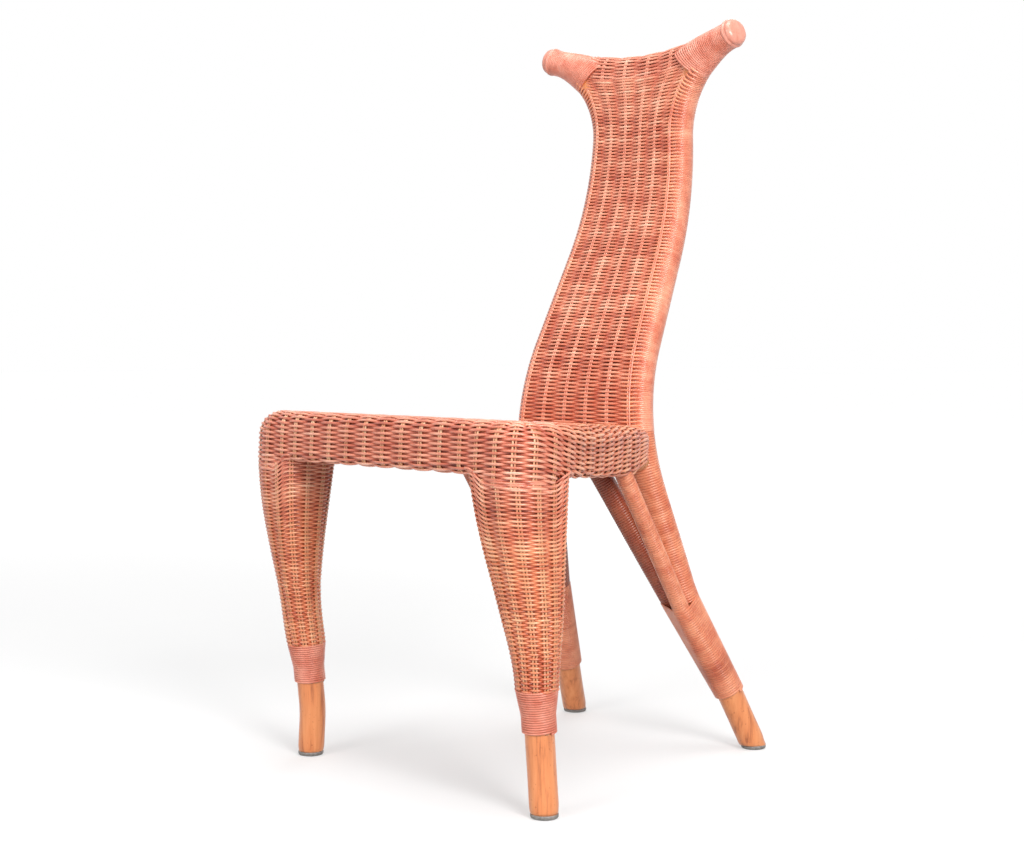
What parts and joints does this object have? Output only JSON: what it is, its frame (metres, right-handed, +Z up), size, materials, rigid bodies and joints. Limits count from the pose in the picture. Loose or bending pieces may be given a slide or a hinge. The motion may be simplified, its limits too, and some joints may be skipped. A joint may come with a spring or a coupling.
{
  "type": "rattan side chair",
  "caption": "Woven rattan side chair with a narrow waisted back, flared horn-like top ends, sleeved front legs and braced, splayed rear legs",
  "frame": {"origin": "on the floor, midway across and midway between the seat's front edge and the rearmost point of the rear feet", "axes": "+X to the right of someone who faces the chair's front, +Y towards the back, +Z up"},
  "size_m": [0.5042, 0.543, 0.9621],
  "materials": {
    "wicker": "stained rattan core strands, satin lacquer",
    "fine_cane": "fine cane wound close, satin lacquer",
    "pole_rattan": "bare rattan pole, stained and lacquered",
    "frame_rattan": "bare rattan pole, plain",
    "glide_grey": "moulded grey plastic",
    "screw_steel": "zinc plated"
  },
  "bodies": {
    "root": {"back_post_left": "pole_rattan", "back_post_right": "pole_rattan", "back_post_weave_left": "wicker", "back_post_weave_right": "wicker", "back_weave_front": "wicker", "back_weave_rear": "wicker", "front_ankle_binding_left": "fine_cane", "front_ankle_binding_right": "fine_cane", "front_ankle_stakes_left": "fine_cane", "front_ankle_stakes_right": "fine_cane", "front_glide_left": "glide_grey", "front_glide_right": "glide_grey", "front_leg_pole_left": "pole_rattan", "front_leg_pole_right": "pole_rattan", "front_leg_weave_left": "wicker", "front_leg_weave_right": "wicker", "front_rail_screws": "screw_steel", "horn_binding_left": "fine_cane", "horn_binding_right": "fine_cane", "horn_end_cap_left": "pole_rattan", "horn_end_cap_right": "pole_rattan", "inner_brace_wrap_left": "fine_cane", "inner_brace_wrap_right": "fine_cane", "rear_glide_left": "glide_grey", "rear_glide_right": "glide_grey", "rear_inner_brace_left": "frame_rattan", "rear_inner_brace_right": "frame_rattan", "rear_leg_cuff_left": "fine_cane", "rear_leg_cuff_right": "fine_cane", "rear_post_wrap_left": "fine_cane", "rear_post_wrap_right": "fine_cane", "rear_rail_screws": "screw_steel", "rear_side_brace_left": "frame_rattan", "rear_side_brace_right": "frame_rattan", "seat_bearer_1": "frame_rattan", "seat_bearer_2": "frame_rattan", "seat_bearer_3": "frame_rattan", "seat_bearer_4": "frame_rattan", "seat_bearer_5": "frame_rattan", "seat_front_rail_lower": "frame_rattan", "seat_front_rail_upper": "frame_rattan", "seat_rear_rail_lower": "frame_rattan", "seat_rear_rail_upper": "frame_rattan", "seat_side_rail_lower_left": "frame_rattan", "seat_side_rail_lower_right": "frame_rattan", "seat_side_rail_upper_left": "frame_rattan", "seat_side_rail_upper_right": "frame_rattan", "seat_weave": "wicker", "side_brace_wrap_left": "fine_cane", "side_brace_wrap_right": "fine_cane", "side_rail_screws": "screw_steel", "top_rail": "frame_rattan", "top_rail_weave": "wicker"}
  },
  "joints": []
}
